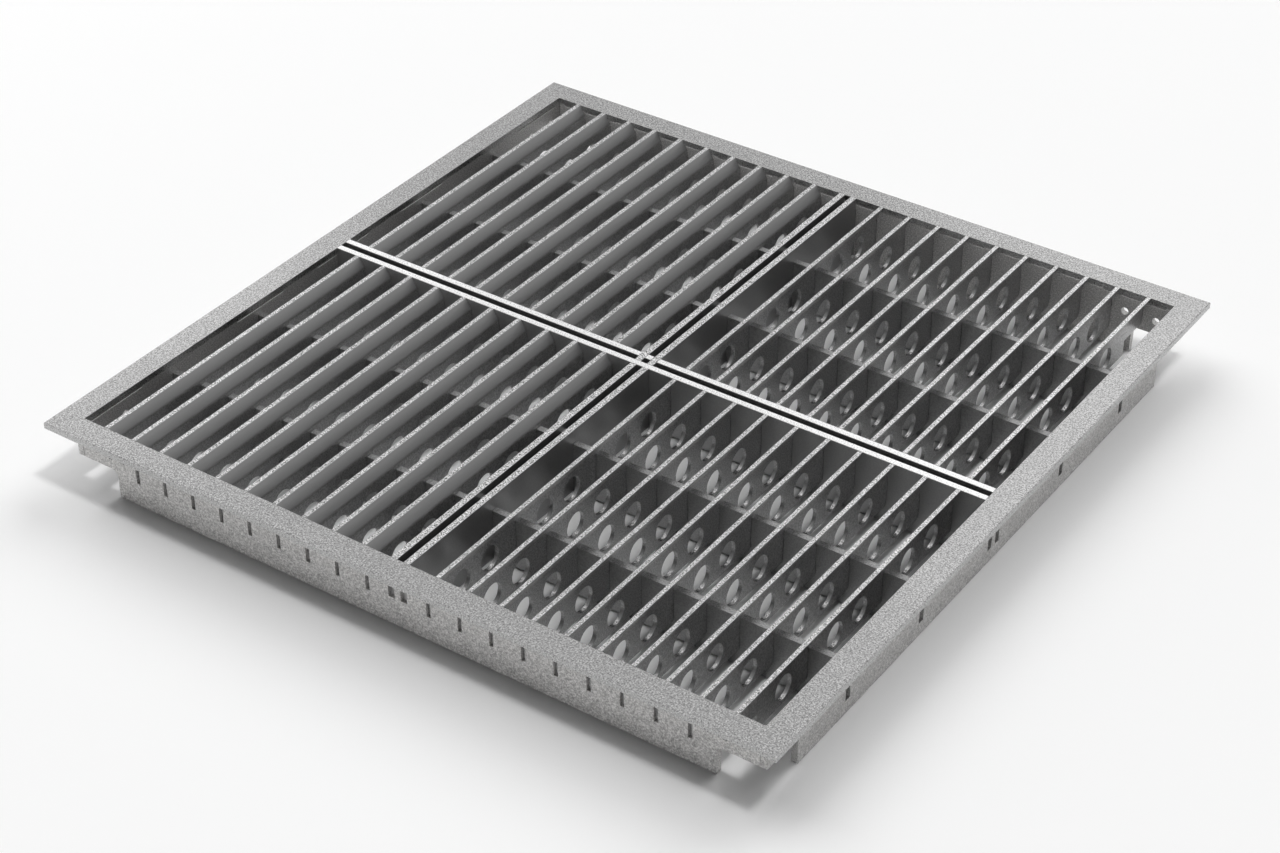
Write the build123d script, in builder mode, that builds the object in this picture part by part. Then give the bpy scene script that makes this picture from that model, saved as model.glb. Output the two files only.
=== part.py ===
from build123d import *

import os
from math import cos, radians, tan

# A square lift-out floor grate: a flat rim on four upright skirt plates, two pairs of
# deep main bars that cross in the middle, lighter cross bars, and rows of folded fins
# that turn the air towards the edges. The origin is the middle of the underside, the
# fins run along Y, and every size is in millimetres.

# Panel
panel_side = 600.0
overall_height = 52.0
rim_thickness = 5.0
ledge_width = 15.0
rim_edge_break = 0.5

# Skirt plates
skirt_thickness = 5.0
corner_seam = 0.3
relief_length = 36.0
relief_height = 22.4
relief_radius = 4.0
seam_height = 1.0
seam_length = 51.0
middle_seam_length = 60.0
inner_seam_place = 96.0
outer_seam_inset = 36.5
fixing_hole_diameter = 6.0
fixing_hole_drop = 18.5

# Main bars, in pairs
bar_thickness = 5.0
bar_gap = 5.3
floor_clearance = 1.0
lap_fit = 0.1

# Cross bars
cross_bars_per_half = 2
cross_bar_thickness = 5.0
cross_bar_drop = 11.0
tongue_drop = 4.5

# Fins
fins_per_quarter = 10
fin_thickness = 3.0
fin_height = 37.0
lean_angle = 30.0
tip_offset = 5.2
bend_radius = 3.0
vent_diameter = 19.0
vent_sides = 8
vent_drop = 24.3
vents_per_cell = 2
fin_relief_length = 28.0
fin_relief_drop = 24.3

# Tabs and their slots
tab_length = 2.5
tab_fit = 0.2
fin_tab_drop = 13.0
fin_tab_height = 19.4
corner_tab_height = 8.3
bar_tab_height = 19.6
y_bar_tab_base = 22.6
x_bar_tab_base = 10.5

# Places worked out from the sizes above
rim_base = overall_height - rim_thickness
skirt_outer = panel_side / 2 - ledge_width
inner_half = skirt_outer - skirt_thickness
relief_edge = skirt_outer - relief_length
bar_place = (bar_gap + bar_thickness) / 2
bar_face = bar_gap / 2 + bar_thickness
lap_height = (overall_height + floor_clearance) / 2
bay = inner_half / (fins_per_quarter + 1)
cell = (inner_half + skirt_thickness / 2 - bar_place) / (cross_bars_per_half + 1)
fin_base = overall_height - fin_height
fin_tab_top = overall_height - fin_tab_drop
cross_bar_top = overall_height - cross_bar_drop

fin_places = [bay * number for number in range(1, fins_per_quarter + 1)]
cross_places = [bar_place + cell * number for number in range(1, cross_bars_per_half + 1)]
both_ways = (-1, 1)

os.makedirs("parts", exist_ok=True)


def write_piece(piece, name):
    """Name a finished piece and write it as a STEP file of its own."""
    piece.part.label = name
    export_step(piece.part, f"parts/{name}.step")


def tab_slots(places, base, height, thickness):
    """Slots for upright tabs, cut through a plate that is drawn face on."""
    with Locations(*[(place, base + height / 2) for place in places]):
        Rectangle(thickness + 2 * tab_fit, height + 2 * tab_fit)


def fin_tab_slots(corner_height):
    """One slot for each fin, with the outermost one on each side shorter."""
    middle_fins = [way * place for way in both_ways for place in fin_places[:-1]]
    corner_fins = [way * fin_places[-1] for way in both_ways]
    tab_slots(middle_fins, fin_tab_top - fin_tab_height, fin_tab_height, fin_thickness)
    tab_slots(corner_fins, fin_tab_top - corner_height, corner_height, fin_thickness)


def skirt_plate_outline(half_length):
    """The plate face on, cut away at both ends to clear the floor's pedestal heads."""
    with Locations((0, rim_base / 2)):
        Rectangle(2 * half_length, rim_base)
    end_cut = half_length - relief_edge
    end_middle = relief_edge + end_cut / 2
    with Locations((-end_middle, relief_height / 2), (end_middle, relief_height / 2)):
        Rectangle(end_cut, relief_height, mode=Mode.SUBTRACT)


def skirt_plate_cuts():
    """Open seams under the rim and the fixing holes beside the outermost fin."""
    outer_seam_place = skirt_outer - outer_seam_inset
    seam_middle = rim_base - seam_height / 2
    seam_places = (-outer_seam_place, -inner_seam_place, inner_seam_place, outer_seam_place)
    with Locations(*[(place, seam_middle) for place in seam_places]):
        Rectangle(seam_length, seam_height)
    with Locations((0, seam_middle)):
        Rectangle(middle_seam_length, seam_height)
    hole_height = overall_height - fixing_hole_drop
    hole_places = [way * (fin_places[-1] + side * bay / 2) for way in both_ways for side in both_ways]
    with Locations(*[(place, hole_height) for place in hole_places]):
        Circle(fixing_hole_diameter / 2)


def relief_corners(plate, along):
    """The inside corners of a plate's two end cuts."""
    across = plate.edges().filter_by(Axis.Y if along == "X" else Axis.X)
    return across.filter_by(lambda edge: abs(abs(getattr(edge.center(), along)) - relief_edge) < 0.01
                            and abs(edge.center().Z - relief_height) < 0.01)


# Rim: a flat ring that lies on the skirt and stands out past it as the seating ledge
with BuildPart() as rim_plate:
    with BuildSketch(Plane.XY.offset(rim_base)):
        Rectangle(panel_side, panel_side)
        Rectangle(2 * inner_half, 2 * inner_half, mode=Mode.SUBTRACT)
    extrude(amount=rim_thickness)
    outer_top = rim_plate.faces().sort_by(Axis.Z)[-1].outer_wire().edges()
    chamfer(outer_top, rim_edge_break)
write_piece(rim_plate, "rim_plate")

# Front and back skirt plates, which fit between the side plates and hold the fins' ends
for name, way in (("skirt_front", -1), ("skirt_back", 1)):
    face_plane = Plane.XZ.offset(-way * skirt_outer)
    with BuildPart() as skirt_end:
        with BuildSketch(face_plane):
            skirt_plate_outline(inner_half - corner_seam)
        extrude(amount=way * skirt_thickness)
        fillet(relief_corners(skirt_end, "X"), relief_radius)
        with BuildSketch(face_plane):
            skirt_plate_cuts()
            fin_tab_slots(corner_tab_height)
            tab_slots((-bar_place, bar_place), y_bar_tab_base, bar_tab_height, bar_thickness)
        extrude(amount=way * skirt_thickness, mode=Mode.SUBTRACT)
    write_piece(skirt_end, name)

# Side skirt plates, full length, slotted for the bars that run across
for name, way in (("skirt_left", -1), ("skirt_right", 1)):
    face_plane = Plane.YZ.offset(way * skirt_outer)
    with BuildPart() as skirt_side:
        with BuildSketch(face_plane):
            skirt_plate_outline(skirt_outer)
        extrude(amount=-way * skirt_thickness)
        fillet(relief_corners(skirt_side, "Y"), relief_radius)
        with BuildSketch(face_plane):
            skirt_plate_cuts()
            tab_slots((-bar_place, bar_place), x_bar_tab_base, bar_tab_height, bar_thickness)
            cross_slots = [side * place for side in both_ways for place in cross_places]
            tab_slots(cross_slots, x_bar_tab_base, bar_tab_height, cross_bar_thickness)
        extrude(amount=-way * skirt_thickness, mode=Mode.SUBTRACT)
    write_piece(skirt_side, name)


def bar_outline(top, tab_base):
    """A bar seen from its side, from skirt to skirt, with a tab at each end."""
    with Locations((0, (top + floor_clearance) / 2)):
        Rectangle(2 * inner_half, top - floor_clearance)
    with Locations((0, tab_base + bar_tab_height / 2)):
        Rectangle(2 * (inner_half + tab_length), bar_tab_height)


def lap_notches(places, low, high, thickness):
    """Notches where a bar crosses others, drawn on the bar's side."""
    with Locations(*[(place, (low + high) / 2) for place in places]):
        Rectangle(thickness + 2 * lap_fit, high - low, mode=Mode.SUBTRACT)


# Main bars across the panel: the front one laps over the pair that it meets, the back one under
for name, way in (("main_bar_front", -1), ("main_bar_back", 1)):
    low, high = (floor_clearance, lap_height) if way < 0 else (lap_height, overall_height)
    with BuildPart() as main_bar_x:
        with BuildSketch(Plane.XZ.offset(-way * bar_face)):
            bar_outline(overall_height, x_bar_tab_base)
            lap_notches((-bar_place, bar_place), low, high, bar_thickness)
        extrude(amount=way * bar_thickness)
        with BuildSketch(Plane.XZ.offset(-way * bar_face)):
            fin_tab_slots(fin_tab_height)
        extrude(amount=way * bar_thickness, mode=Mode.SUBTRACT)
    write_piece(main_bar_x, name)

# Main bars along the fins, notched above for the front bar and below for all the others
for name, way in (("main_bar_left", -1), ("main_bar_right", 1)):
    with BuildPart() as main_bar_y:
        with BuildSketch(Plane.YZ.offset(way * bar_face)):
            bar_outline(overall_height, y_bar_tab_base)
            lap_notches((-bar_place,), lap_height, overall_height, bar_thickness)
            lap_notches((bar_place,), floor_clearance, lap_height, bar_thickness)
            under_notches = [side * place for side in both_ways for place in cross_places]
            lap_notches(under_notches, floor_clearance, lap_height, cross_bar_thickness)
        extrude(amount=-way * bar_thickness)
    write_piece(main_bar_y, name)

# Cross bars, which carry the fins in notches and lap into the middle pair of main bars
cross_names = ("cross_bar_front_outer", "cross_bar_front_inner", "cross_bar_back_inner", "cross_bar_back_outer")
cross_rows = [-place for place in reversed(cross_places)] + cross_places
for name, row in zip(cross_names, cross_rows):
    with BuildPart() as cross_bar:
        with BuildSketch(Plane.XZ.offset(-row - cross_bar_thickness / 2)):
            bar_outline(cross_bar_top, x_bar_tab_base)
            with Locations((0, (cross_bar_top + overall_height - tongue_drop) / 2)):
                Rectangle(bar_gap - 2 * lap_fit, cross_bar_drop - tongue_drop)
            lap_notches((-bar_place, bar_place), lap_height, cross_bar_top, bar_thickness)
            fin_notches = [side * place for side in both_ways for place in fin_places]
            notch_middle = (fin_base + cross_bar_top) / 2
            with Locations(*[(place, notch_middle) for place in fin_notches]):
                Rectangle(fin_thickness + 2 * tab_fit, cross_bar_top - fin_base, mode=Mode.SUBTRACT)
        extrude(amount=cross_bar_thickness)
    write_piece(cross_bar, name)


def fold_corner(place, way, side):
    """A corner of the fold: side 1 is inside the bend and side -1 is outside it."""
    half = side * fin_thickness / 2
    fold_height = overall_height - tip_offset / tan(radians(lean_angle))
    return (place + way * half, fold_height - half * tan(radians(lean_angle / 2)))


def tip_corner(place, way, side):
    """A corner of the tip, which is cut level with the top of the rim."""
    half = side * fin_thickness / 2
    return (place + way * (tip_offset + half / cos(radians(lean_angle))), overall_height)


def fin_profile(place, way):
    """A folded fin from its end: upright below, and leaning outwards above the fold."""
    half = fin_thickness / 2
    Polygon(
        (place - way * half, fin_base),
        (place + way * half, fin_base),
        fold_corner(place, way, 1),
        tip_corner(place, way, 1),
        tip_corner(place, way, -1),
        fold_corner(place, way, -1),
        align=None,
    )


def fin_tab(end, way, tab_height):
    """The tab on one end of a fin, drawn on the upright sheet and pointing to way."""
    with Locations((end + way * tab_length / 2, fin_tab_top - tab_height / 2)):
        Rectangle(tab_length, tab_height)


# Fins: ten in each quarter, pierced by vents that stand clear of the cross bars. The real
# vents are round. They are drawn with flats, as wide as the vent, to keep so many fins light.
vent_spacing = cell / (vents_per_cell + 1)
vent_steps = [step for step in range(1, (vents_per_cell + 1) * (cross_bars_per_half + 1))
              if step % (vents_per_cell + 1)]
vent_height = overall_height - vent_drop
fin_relief_edge = inner_half - fin_relief_length
for row_name, row_way in (("front", -1), ("back", 1)):
    for side_name, side_way in (("left", -1), ("right", 1)):
        for number, distance in enumerate(fin_places, start=1):
            place = side_way * distance
            at_corner = distance == fin_places[-1]
            sheet = Plane.YZ.offset(place - fin_thickness / 2)
            vent_rows = [bar_place + vent_spacing * step for step in vent_steps]
            if at_corner:
                vent_rows = [row for row in vent_rows if row + vent_diameter / 2 < fin_relief_edge]
            with BuildPart() as fin:
                with BuildSketch(Plane.XZ.offset(-row_way * bar_face)) as profile:
                    fin_profile(place, side_way)
                    for side, radius in ((1, bend_radius), (-1, bend_radius + fin_thickness)):
                        corner = fold_corner(place, side_way, side)
                        fillet(profile.vertices().sort_by_distance(corner)[0], radius)
                extrude(amount=-row_way * (inner_half - bar_face))
                with BuildSketch(sheet):
                    fin_tab(row_way * bar_face, -row_way, fin_tab_height)
                    fin_tab(row_way * inner_half, row_way, corner_tab_height if at_corner else fin_tab_height)
                extrude(amount=fin_thickness)
                with BuildSketch(sheet):
                    with Locations(*[(row_way * row, vent_height) for row in vent_rows]):
                        RegularPolygon(vent_diameter / 2, vent_sides, major_radius=False, rotation=180 / vent_sides)
                    if at_corner:
                        relief_top = overall_height - fin_relief_drop
                        relief_middle = row_way * (fin_relief_edge + fin_relief_length / 2)
                        with Locations((relief_middle, (fin_base + relief_top) / 2)):
                            Rectangle(fin_relief_length, relief_top - fin_base)
                extrude(amount=fin_thickness, mode=Mode.SUBTRACT)
            write_piece(fin, f"fin_{row_name}_{side_name}_{number:02d}")
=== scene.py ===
# %% [markdown]
# A square floor grate, in cells
#
# The grate drops into a raised floor. A flat rim lies on four upright skirt plates, two pairs of deep
# main bars cross in the middle, lighter notched cross bars hold the fins, and forty folded fins turn
# the rising air outwards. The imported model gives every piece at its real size. This lesson finishes
# them: it folds the fins again with round vents, softens the cut edges, and gives each kind of part
# its steel.

# %% Load the frame
import math

import bmesh
import bpy
from mathutils import Matrix, Vector


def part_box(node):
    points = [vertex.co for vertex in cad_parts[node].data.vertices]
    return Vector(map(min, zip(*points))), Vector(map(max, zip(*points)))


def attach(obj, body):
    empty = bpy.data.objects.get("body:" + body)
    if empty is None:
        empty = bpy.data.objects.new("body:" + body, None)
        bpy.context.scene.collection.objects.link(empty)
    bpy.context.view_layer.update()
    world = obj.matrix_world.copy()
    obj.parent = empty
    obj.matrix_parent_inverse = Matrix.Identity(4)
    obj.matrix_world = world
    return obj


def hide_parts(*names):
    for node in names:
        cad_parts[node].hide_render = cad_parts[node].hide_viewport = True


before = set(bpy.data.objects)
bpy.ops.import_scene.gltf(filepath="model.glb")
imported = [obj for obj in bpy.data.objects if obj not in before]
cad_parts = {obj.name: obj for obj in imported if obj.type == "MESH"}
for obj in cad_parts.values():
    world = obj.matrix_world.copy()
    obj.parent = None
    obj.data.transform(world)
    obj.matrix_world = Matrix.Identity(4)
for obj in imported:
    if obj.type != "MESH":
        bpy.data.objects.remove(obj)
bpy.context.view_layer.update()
print("pieces in the frame:", len(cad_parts))

# %% [markdown]
# What the pieces measure
#
# The places of the pieces come from the frame itself, so that this script follows a changed model. A
# box says where a node lies, and a few sizes of the sheet that no box shows are named here, in metres.

# %% Measure the grate
MM = 0.001
rim_low, rim_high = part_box("rim_plate")
top_height = rim_high.z
bar_low, bar_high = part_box("main_bar_right")
cross_low, cross_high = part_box("cross_bar_back_inner")
print("rim", round((rim_high.x - rim_low.x) / MM, 1), "mm, top at", round(top_height / MM, 1), "mm")

# %% [markdown]
# The fins
#
# A fin is cut from sheet, pierced, and folded once along its length. The cut could be a boolean in the
# finished solid, but a fill between an outline and a ring of circles gives the pierced web in one step
# and leaves clean edges. The fold follows the real one: the web's top face is spun about the bend line,
# carried on straight, and cut level with the rim.

# %% Sizes of the folded sheet
sheet_thickness = 3.0 * MM
bend_radius = 3.0 * MM
lean_angle = math.radians(30.0)
tip_offset = 5.2 * MM
tab_length = 2.5 * MM
tab_top = top_height - 13.0 * MM
full_tab = 19.4 * MM
short_tab = 8.3 * MM
vent_radius = 9.5 * MM
vent_height = top_height - 24.3 * MM
vents_per_cell = 2
cells_per_half = 3
relief_length = 28.0 * MM
relief_top = top_height - 24.3 * MM

bar_middle = (bar_low.x + bar_high.x) / 2
first_cross = (cross_low.y + cross_high.y) / 2
vent_spacing = (first_cross - bar_middle) / (vents_per_cell + 1)
fold_height = top_height - tip_offset / math.tan(lean_angle)
fold_start = fold_height - (bend_radius + sheet_thickness / 2) * math.tan(lean_angle / 2)
print("vents every", round(vent_spacing / MM, 2), "mm, fold at", round(fold_start / MM, 2), "mm")


# %% Draw the flat web of one fin
vent_segments = 32


def web_outline(near, far, base, row_way, is_corner):
    """The corners of a fin's flat web, as (y, z), with a tab at each end."""
    far_tab = short_tab if is_corner else full_tab
    low_end = [(far, base)]
    if is_corner:
        low_end = [(far - relief_length, base), (far - relief_length, relief_top), (far, relief_top)]
    points = [(near, base)] + low_end + [
        (far, tab_top - far_tab), (far + tab_length, tab_top - far_tab),
        (far + tab_length, tab_top), (far, tab_top),
        (far, fold_start), (near, fold_start),
        (near, tab_top), (near - tab_length, tab_top),
        (near - tab_length, tab_top - full_tab), (near, tab_top - full_tab),
    ]
    return [(row_way * y, z) for y, z in points]


def vent_rows(far, is_corner):
    """Where the vents stand along the fin, two between one cross bar and the next."""
    last_step = cells_per_half * (vents_per_cell + 1)
    steps = [step for step in range(1, last_step) if step % (vents_per_cell + 1)]
    rows = [bar_middle + vent_spacing * step for step in steps]
    limit = far - relief_length if is_corner else far
    return [row for row in rows if row + vent_radius < limit]


def fill_web(bm, outline, rows, x):
    """Fills the pierced web between its outline and its vents."""
    corners = [bm.verts.new((x, y, z)) for y, z in outline]
    for first, second in zip(corners, corners[1:] + corners[:1]):
        bm.edges.new((first, second))
    for row in rows:
        place = Matrix.Translation((x, row, vent_height)) @ Matrix.Rotation(math.pi / 2, 4, "Y")
        bmesh.ops.create_circle(bm, segments=vent_segments, radius=vent_radius, matrix=place)
    bmesh.ops.triangle_fill(bm, edges=bm.edges[:], use_beauty=True)


fin_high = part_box("fin_back_right_01")[1]
print("vents in a full fin:", len(vent_rows(fin_high.y - tab_length, False)))


# %% Fold the web into a fin
fold_steps = 5
past_the_rim = 3 * tip_offset
cut_tolerance = 1e-7


def highest_face(bm):
    return max(bm.faces, key=lambda face: face.calc_center_median().z)


def fold(bm, place, side_way):
    """Thickens the web, spins its top face about the bend line and carries it on to the tip."""
    grown = bmesh.ops.extrude_face_region(bm, geom=bm.faces[:])["geom"]
    moved = [part for part in grown if isinstance(part, bmesh.types.BMVert)]
    bmesh.ops.translate(bm, verts=moved, vec=(sheet_thickness, 0, 0))
    bend_line = Vector((place + side_way * (sheet_thickness / 2 + bend_radius), 0, fold_start))
    turned = bmesh.ops.spin(bm, geom=[highest_face(bm)], cent=bend_line, axis=(0, side_way, 0),
                            angle=lean_angle, steps=fold_steps)["geom_last"]
    tip = [part for part in turned if isinstance(part, bmesh.types.BMFace)]
    grown = bmesh.ops.extrude_face_region(bm, geom=tip)["geom"]
    moved = [part for part in grown if isinstance(part, bmesh.types.BMVert)]
    lean = Vector((side_way * math.sin(lean_angle), 0, math.cos(lean_angle)))
    bmesh.ops.translate(bm, verts=moved, vec=lean * past_the_rim)
    inside = [face for face in bm.faces if all(len(edge.link_faces) > 2 for edge in face.edges)]
    bmesh.ops.delete(bm, geom=inside, context="FACES_ONLY")


def level_tip(bm):
    """Cuts the tip level with the rim and closes it."""
    bmesh.ops.bisect_plane(bm, geom=bm.verts[:] + bm.edges[:] + bm.faces[:], dist=cut_tolerance,
                           plane_co=(0, 0, top_height), plane_no=(0, 0, 1), clear_outer=True)
    bmesh.ops.holes_fill(bm, edges=[edge for edge in bm.edges if edge.is_boundary])


print("fold:", round(math.degrees(lean_angle)), "degrees in", fold_steps, "steps")


# %% Break the edges and finish one fin
edge_break = 0.2 * MM
cut_edge_angle = math.radians(40)
smooth_angle = math.radians(25)


def break_edges(bm):
    """Takes the sharpness off every cut edge."""
    sharp = [edge for edge in bm.edges if edge.is_manifold and edge.calc_face_angle() > cut_edge_angle]
    bmesh.ops.bevel(bm, geom=sharp, offset=edge_break, offset_type="OFFSET", affect="EDGES",
                    segments=1, profile=0.5, material=-1, clamp_overlap=True)


def make_fin(node):
    """Builds one fin where its node stands in the frame."""
    low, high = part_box(node)
    row_way = -1 if "_front_" in node else 1
    side_way = -1 if "_left_" in node else 1
    is_corner = node.endswith("_10")
    web_face = high.x - sheet_thickness if side_way < 0 else low.x
    near = min(abs(low.y), abs(high.y)) + tab_length
    far = max(abs(low.y), abs(high.y)) - tab_length
    rows = [row_way * row for row in vent_rows(far, is_corner)]
    bm = bmesh.new()
    fill_web(bm, web_outline(near, far, low.z, row_way, is_corner), rows, web_face)
    fold(bm, web_face + sheet_thickness / 2, side_way)
    level_tip(bm)
    bmesh.ops.recalc_face_normals(bm, faces=bm.faces[:])
    break_edges(bm)
    mesh = bpy.data.meshes.new(node + "_folded")
    bm.to_mesh(mesh)
    bm.free()
    mesh.shade_smooth()
    mesh.set_sharp_from_angle(angle=smooth_angle)
    piece = bpy.data.objects.new(node + "_folded", mesh)
    bpy.context.scene.collection.objects.link(piece)
    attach(piece, "root")
    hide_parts(node)
    return piece


# %% Make the forty fins
fins = [make_fin(node) for node in sorted(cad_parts) if node.startswith("fin_")]
print("fins:", len(fins), "with", len(fins[0].data.polygons), "faces each")

# %% [markdown]
# The plates and bars
#
# The rim, the skirt plates and the bars have the right shape in the frame and stay. Their cut edges
# could stay sharp, but real edges catch a thin line of light, so a small bevel softens them. It is a
# modifier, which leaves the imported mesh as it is.

# %% Soften the edges of the plates and bars
weld_distance = 0.01 * MM


def soften(piece):
    """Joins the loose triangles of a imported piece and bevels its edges, without changing its mesh."""
    weld = piece.modifiers.new("weld", "WELD")
    weld.merge_threshold = weld_distance
    bevel = piece.modifiers.new("edge", "BEVEL")
    bevel.width = edge_break
    bevel.segments = 1
    bevel.limit_method = "ANGLE"
    bevel.angle_limit = cut_edge_angle
    bevel.harden_normals = False


plates = {name: piece for name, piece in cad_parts.items() if not name.startswith("fin_")}
for piece in plates.values():
    soften(piece)
print("plates and bars:", len(plates))

# %% [markdown]
# The steel
#
# The grate looks like light grey steel with a fine grain. Up close the grain shows as dark and light
# specks about a millimetre wide, and it is clearest on the top edges. A fine noise gives the specks, a
# broad one gives faint clouds, and a bump lets each grain catch the light. The noise follows each
# piece's own coordinates, so it needs no image and runs over the folds without a seam.
#
# Upright faces, leaning faces and level tops look different, and the tones paint that in as light and
# shade: the level tops of the bars and fins are painted lighter than their sides, a painted sheen, and
# the fins' leaning faces are painted darker, a painted shade. Upright faces, leaning faces and level
# tops look different in the photograph, perhaps because they were rolled, bent or cut. The function
# therefore takes three values each for tone, gloss and specks, and picks between them by how far the
# face turns upwards. Each kind of part has its own set, and the front and back skirt plates get a
# lighter tone than the side plates, which is painted light too.

# %% Small helpers for the nodes
def link(tree, source, target):
    tree.links.new(source, target)


def add(tree, kind, **inputs):
    node = tree.nodes.new(kind)
    for name, value in inputs.items():
        node.inputs[name.replace("_", " ")].default_value = value
    return node


def multiply(tree, first, second):
    node = tree.nodes.new("ShaderNodeMath")
    node.operation = "MULTIPLY"
    link(tree, first, node.inputs[0])
    link(tree, second, node.inputs[1])
    return node.outputs["Value"]


upright_end = 0.15
leaning_start = 0.40
leaning_end = 0.80
level_start = 0.95


def by_facing(tree, upward, upright, leaning, level):
    """A value that depends on how far the surface faces up: upright, leaning or level."""
    ramp = tree.nodes.new("ShaderNodeValToRGB")
    stops = ramp.color_ramp.elements
    stops[0].position = upright_end
    stops[1].position = level_start
    for position in (leaning_start, leaning_end):
        stops.new(position)
    for stop, value in zip(stops, (upright, leaning, leaning, level)):
        stop.color = (value, value, value, 1.0)
    link(tree, upward, ramp.inputs["Fac"])
    return ramp.outputs["Color"]


print("a face is level where its normal's upward part is over", level_start)

# %% A speckled steel
grain_scale = 900.0
grain_detail = 1.5
grain_fineness = 0.6
cloud_scale = 14.0
cloud_detail = 3.0
cloud_fineness = 0.55
noise_low = 0.3
noise_high = 0.7
cloud_depth = 0.03
gloss_swing = 0.15
grain_bump = 1.0
grain_depth = 0.1 * MM


def speckled_steel(name, painted_light_tones, gloss, specks, warmth=0.0):
    """Steel with specks, faint clouds and a fine bump. Tones, gloss and specks are three values
    each, for upright, leaning and level surfaces; the tones hold painted light and shade."""
    material = bpy.data.materials.new(name)
    material.use_nodes = True
    tree = material.node_tree
    shader = tree.nodes["Principled BSDF"]
    shader.inputs["Metallic"].default_value = 1.0
    place = tree.nodes.new("ShaderNodeTexCoord")
    facing = tree.nodes.new("ShaderNodeSeparateXYZ")
    link(tree, place.outputs["Normal"], facing.inputs["Vector"])
    upward = facing.outputs["Z"]

    grain = add(tree, "ShaderNodeTexNoise", Scale=grain_scale, Detail=grain_detail,
                Roughness=grain_fineness)
    clouds = add(tree, "ShaderNodeTexNoise", Scale=cloud_scale, Detail=cloud_detail,
                 Roughness=cloud_fineness)
    for texture in (grain, clouds):
        link(tree, place.outputs["Object"], texture.inputs["Vector"])
    swing = add(tree, "ShaderNodeMapRange", From_Min=noise_low, From_Max=noise_high,
                To_Min=-1.0, To_Max=1.0)
    link(tree, grain.outputs["Fac"], swing.inputs["Value"])

    strength = multiply(tree, swing.outputs["Result"], by_facing(tree, upward, *specks))
    lighter = add(tree, "ShaderNodeMath")
    lighter.inputs[1].default_value = 1.0
    link(tree, strength, lighter.inputs[0])
    patches = add(tree, "ShaderNodeMapRange", From_Min=noise_low, From_Max=noise_high,
                  To_Min=1 - cloud_depth, To_Max=1 + cloud_depth)
    link(tree, clouds.outputs["Fac"], patches.inputs["Value"])
    # painted light: the tone by facing paints lighter tops and darker leaning faces
    shade = multiply(tree, by_facing(tree, upward, *painted_light_tones), patches.outputs["Result"])
    shade = multiply(tree, shade, lighter.outputs["Value"])

    colour = tree.nodes.new("ShaderNodeVectorMath")
    colour.operation = "SCALE"
    colour.inputs[0].default_value = (1 + warmth, 1.0, 1 - warmth)
    link(tree, shade, colour.inputs["Scale"])
    link(tree, colour.outputs["Vector"], shader.inputs["Base Color"])

    duller = add(tree, "ShaderNodeMapRange", From_Min=-1.0, From_Max=1.0,
                 To_Min=1 - gloss_swing, To_Max=1 + gloss_swing)
    link(tree, swing.outputs["Result"], duller.inputs["Value"])
    roughness = multiply(tree, by_facing(tree, upward, *gloss), duller.outputs["Result"])
    link(tree, roughness, shader.inputs["Roughness"])

    bump = add(tree, "ShaderNodeBump", Strength=grain_bump, Distance=grain_depth)
    link(tree, grain.outputs["Fac"], bump.inputs["Height"])
    link(tree, bump.outputs["Normal"], shader.inputs["Normal"])
    return material


# %% The seven finishes, with painted light and shade in their tones
rim_steel = speckled_steel(
    "rim_steel", painted_light_tones=(0.45, 0.35, 0.345), gloss=(0.30, 0.22, 0.22), specks=(0.5, 0.5, 0.5),
    warmth=0.003)
# painted light: the front and back skirt plates get a lighter tone than the side plates, as lit and
# shaded copies of one steel
painted_lighter_skirt_steel = speckled_steel(
    "painted_lighter_skirt_steel", painted_light_tones=(0.55, 0.45, 0.45), gloss=(0.62, 0.40, 0.40), specks=(0.4, 0.4, 0.4),
    warmth=0.012)
side_steel = speckled_steel(
    "side_steel", painted_light_tones=(0.49, 0.40, 0.40), gloss=(0.50, 0.40, 0.40), specks=(0.4, 0.4, 0.4),
    warmth=0.012)
# painted sheen: the level tops of the front and back main bars are painted far lighter than their sides
bright_steel = speckled_steel(
    "bright_bar_steel", painted_light_tones=(0.36, 0.33, 0.76), gloss=(0.40, 0.34, 0.30), specks=(0.1, 0.1, 0.2))
bar_steel = speckled_steel(
    "bar_steel", painted_light_tones=(0.38, 0.33, 0.48), gloss=(0.38, 0.32, 0.22), specks=(0.1, 0.1, 0.9))
cross_steel = speckled_steel(
    "cross_bar_steel", painted_light_tones=(0.33, 0.30, 0.28), gloss=(0.40, 0.34, 0.34), specks=(0.2, 0.2, 0.4))
# painted shade: the fins' leaning faces are painted darker than their upright faces and tips
fin_steel = speckled_steel(
    "fin_steel", painted_light_tones=(0.48, 0.26, 0.45), gloss=(0.40, 0.50, 0.22), specks=(0.35, 0.05, 0.8))
print("finishes:", [material.name for material in bpy.data.materials if material.name.endswith("steel")])


# %% Give every piece its steel
def finish_with(piece, material):
    piece.data.materials.clear()
    piece.data.materials.append(material)


def steel_for(name):
    if name == "rim_plate":
        return rim_steel
    if name.startswith("skirt"):
        return side_steel if name in ("skirt_left", "skirt_right") else painted_lighter_skirt_steel
    if name.startswith("cross"):
        return cross_steel
    return bright_steel if name in ("main_bar_front", "main_bar_back") else bar_steel


for name, piece in plates.items():
    finish_with(piece, steel_for(name))
for piece in fins:
    finish_with(piece, fin_steel)
print("materials:", len(bpy.data.materials))

# %% [markdown]
# The floor and the light
#
# The grate lies on a white floor in soft studio light, and its shadow falls towards the camera. The
# shadow tells where the lamps are. It is darkest in front, where only faint surroundings reach, so both
# broad lamps stand behind and to the left. A narrow key from the upper right sharpens the shadow's edge
# and makes the bright patch under the near corner.
#
# Metal shows what it mirrors. The surroundings are white for the camera and for mirrored rays, so the
# steel looks light, and two soft boxes brighten the left and the right end of the rim. Mirrored rays
# don't see the broad lamps, which would put bright spots in the vents and a glare on the near edges
# of the rim that the photograph doesn't show.

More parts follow.
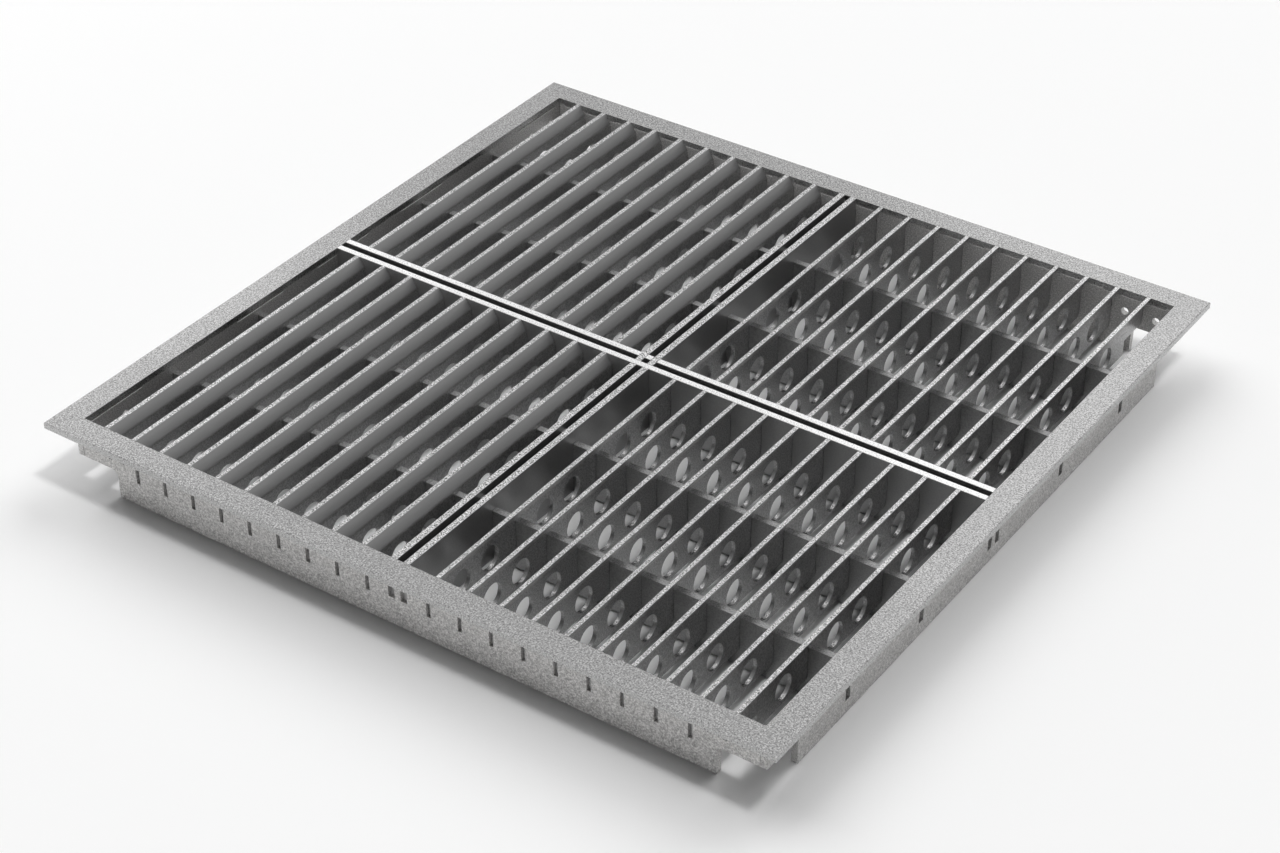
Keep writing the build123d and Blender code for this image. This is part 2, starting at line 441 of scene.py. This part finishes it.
# %% Floor
floor_size = 24.0
floor_gap = 0.05 * MM
floor_white = 0.955
floor_roughness = 0.6
floor_specular = 0.2
floor_mesh = bpy.data.meshes.new("floor")
bm = bmesh.new()
bmesh.ops.create_grid(bm, x_segments=1, y_segments=1, size=floor_size / 2)
bmesh.ops.translate(bm, verts=bm.verts[:], vec=(0, 0, -floor_gap))
bm.to_mesh(floor_mesh)
bm.free()
floor = bpy.data.objects.new("floor", floor_mesh)
bpy.context.scene.collection.objects.link(floor)

floor_paint = bpy.data.materials.new("floor_paint")
floor_paint.use_nodes = True
floor_shader = floor_paint.node_tree.nodes["Principled BSDF"]
floor_shader.inputs["Base Color"].default_value = (floor_white, floor_white, floor_white, 1)
floor_shader.inputs["Roughness"].default_value = floor_roughness
floor_shader.inputs["Specular IOR Level"].default_value = floor_specular
floor_mesh.materials.append(floor_paint)
print("floor:", floor_size, "m square,", round(floor_gap / MM, 2), "mm under the grate")

# %% Surroundings
white_strength = 1.0
faint_strength = 0.04
under_one_bounce = 0.5
world = bpy.data.worlds.new("surroundings")
bpy.context.scene.world = world
world.use_nodes = True
tree = world.node_tree
white = tree.nodes["Background"]
white.inputs["Color"].default_value = (1, 1, 1, 1)
white.inputs["Strength"].default_value = white_strength
faint = add(tree, "ShaderNodeBackground", Color=(1, 1, 1, 1), Strength=faint_strength)
path = tree.nodes.new("ShaderNodeLightPath")
before_floor = tree.nodes.new("ShaderNodeMath")
before_floor.operation = "LESS_THAN"
before_floor.inputs[1].default_value = under_one_bounce
link(tree, path.outputs["Diffuse Depth"], before_floor.inputs[0])
mirrored = multiply(tree, path.outputs["Is Glossy Ray"], before_floor.outputs["Value"])
direct = tree.nodes.new("ShaderNodeMath")
direct.operation = "MAXIMUM"
link(tree, path.outputs["Is Camera Ray"], direct.inputs[0])
link(tree, mirrored, direct.inputs[1])
mix = tree.nodes.new("ShaderNodeMixShader")
link(tree, direct.outputs["Value"], mix.inputs["Fac"])
link(tree, faint.outputs["Background"], mix.inputs[1])
link(tree, white.outputs["Background"], mix.inputs[2])
link(tree, mix.outputs["Shader"], tree.nodes["World Output"].inputs["Surface"])
print("surroundings: strength", white_strength, "when seen or mirrored,", faint_strength, "otherwise")

# %% Helpers for the lamps
box_distance = 4.0


def aim(lamp_object, place):
    """Puts a lamp at its place and turns it towards the middle of the grate."""
    lamp_object.location = place
    lamp_object.rotation_euler = (-place).to_track_quat("-Z", "Y").to_euler()
    bpy.context.scene.collection.objects.link(lamp_object)


def from_angles(azimuth, elevation, away):
    """A place about the grate. Azimuth turns from the grate's right towards its back."""
    flat = away * math.cos(elevation)
    return Vector((flat * math.cos(azimuth), flat * math.sin(azimuth), away * math.sin(elevation)))


def far_lamp(name, azimuth, elevation, width, on_floor):
    """A lamp so far away that its light is parallel. All its angles are in degrees, and its width is
    the angle that it fills. Lamps that bring 1 to the floor together make white paint look white."""
    lamp = bpy.data.lights.new(name, "SUN")
    lamp.energy = on_floor * math.pi / math.sin(math.radians(elevation))
    lamp.angle = math.radians(width)
    lamp_object = bpy.data.objects.new(name, lamp)
    aim(lamp_object, from_angles(math.radians(azimuth), math.radians(elevation), 1.0))
    return lamp_object


def soft_box(name, azimuth, elevation, width, height, radiance):
    """A flat glowing panel that the metal mirrors. Its angles are in degrees and its sides in metres."""
    lamp = bpy.data.lights.new(name, "AREA")
    lamp.shape = "RECTANGLE"
    lamp.size = width
    lamp.size_y = height
    lamp.energy = radiance * math.pi * width * height
    lamp_object = bpy.data.objects.new(name, lamp)
    aim(lamp_object, from_angles(math.radians(azimuth), math.radians(elevation), box_distance))
    return lamp_object


print("the soft boxes stand", box_distance, "m away")

# %% Lamps
key = far_lamp("key", azimuth=3, elevation=70.7, width=8, on_floor=0.27)
floor_lamps = [
    far_lamp("back_lamp", azimuth=85, elevation=40, width=40, on_floor=0.25),
    far_lamp("left_lamp", azimuth=170, elevation=55, width=50, on_floor=0.37),
]
for lamp_object in floor_lamps:
    lamp_object.visible_glossy = False
left_box = soft_box("soft_left", azimuth=153, elevation=20, width=2.2, height=1.5, radiance=1.6)
right_box = soft_box("soft_right", azimuth=98, elevation=37, width=2.0, height=1.2, radiance=0.65)
print("lamps:", [lamp.name for lamp in (key, *floor_lamps, left_box, right_box)])

# %% [markdown]
# The camera
#
# The photograph looks down on one corner. Its angle, distance and lens were solved from the rim's
# outer and inner corners, and they are given here as an azimuth and an elevation about a point on the
# top of the grate. The azimuth turns from the grate's front towards its right.

# %% Camera
azimuth = math.radians(34.616)
elevation = math.radians(35.521)
distance = 1.88144
sensor_width = 36.0
lens_length = 76.56
target = Vector((42.80 * MM, -69.15 * MM, top_height))
camera_data = bpy.data.cameras.new("camera")
camera_data.sensor_width = sensor_width
camera_data.lens = lens_length
camera = bpy.data.objects.new("camera", camera_data)
back = Vector((math.sin(azimuth) * math.cos(elevation), -math.cos(azimuth) * math.cos(elevation),
               math.sin(elevation)))
camera.location = target + back * distance
camera.rotation_euler = (-back).to_track_quat("-Z", "Y").to_euler()
bpy.context.scene.collection.objects.link(camera)
bpy.context.scene.camera = camera
bpy.context.scene.view_settings.view_transform = "Standard"
print("camera at", [round(value, 3) for value in camera.location])
